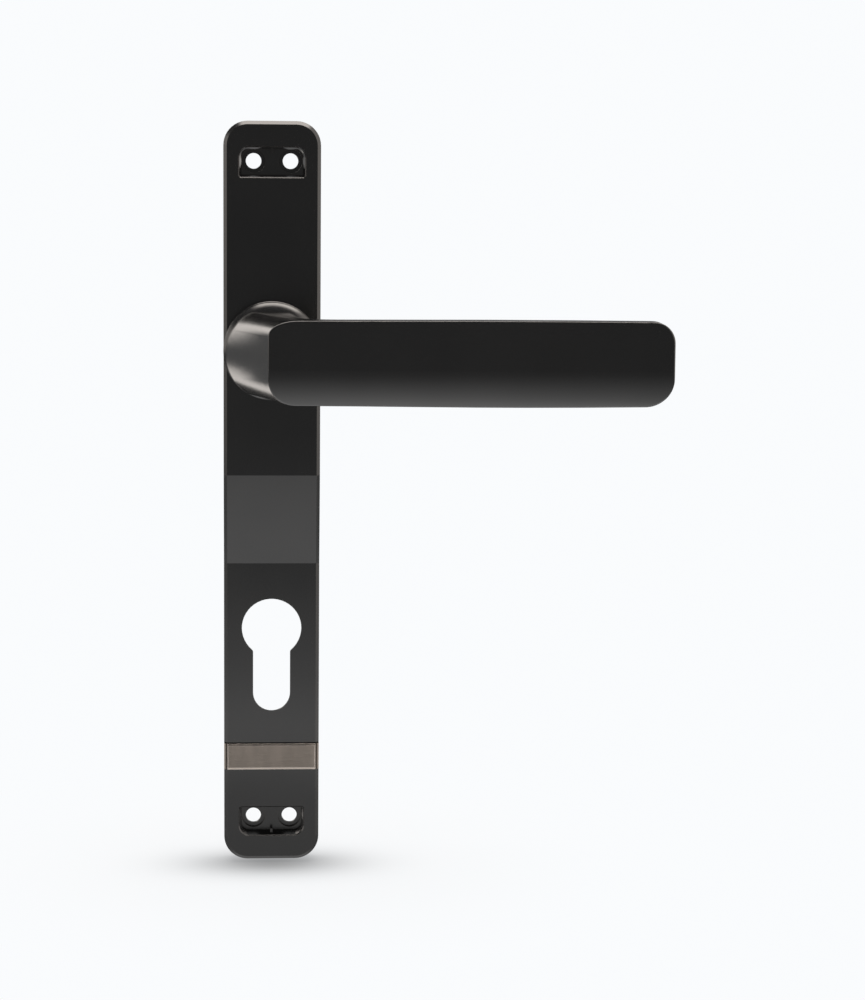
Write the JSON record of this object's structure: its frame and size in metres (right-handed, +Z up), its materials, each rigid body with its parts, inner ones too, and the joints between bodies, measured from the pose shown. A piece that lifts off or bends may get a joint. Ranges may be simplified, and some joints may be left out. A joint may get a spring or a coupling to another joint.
{
  "type": "lever door handle on backplate",
  "caption": "Lever door handle on a long narrow backplate: flat wide grip, sprung hinge, euro-profile cylinder cut-out, screw recesses and a brushed accent bar.",
  "frame": {"origin": "spindle axis where it crosses the door face, which is the plane of the backplate's back rim", "axes": "+X along the lever towards its tip at rest, +Y into the door along the spindle, +Z up the door"},
  "size_m": [0.1281, 0.122, 0.2243],
  "materials": {
    "black_coat": "satin black coat on a zinc casting",
    "brushed_nickel": "warm dark nickel, brushed along its length",
    "zinc_steel": "bright zinc plated steel",
    "bright_steel": "turned bright steel",
    "spring_steel": "oiled spring steel",
    "black_oxide": "black oxide steel",
    "nylon": "natural nylon, moulded"
  },
  "bodies": {
    "plate": {"backplate": "black_coat", "accent_bar": "brushed_nickel", "bar_push_nuts": "spring_steel", "neck_collar": "black_coat", "bearing_bush": "nylon", "stop_pins": "bright_steel", "spring_post": "bright_steel", "return_spring": "spring_steel", "keeper_plate": "zinc_steel", "rear_bush": "nylon", "keeper_screws": "zinc_steel"},
    "lever": {"lever_handle": "black_coat", "spindle": "zinc_steel", "spindle_grub_screw": "black_oxide", "drive_plate": "zinc_steel", "flat_washer": "bright_steel", "spring_washer": "spring_steel", "retaining_ring": "spring_steel"}
  },
  "joints": [
    {"name": "lever_turn", "type": "hinge", "parent": "plate", "child": "lever", "pos_m": [0, 0, 0], "axis": [0, 1, 0], "range_deg": [0, 45], "stiffness_Nm_per_rad": 0.9, "springref_deg": -34.38, "deforming": ["return_spring"]}
  ]
}
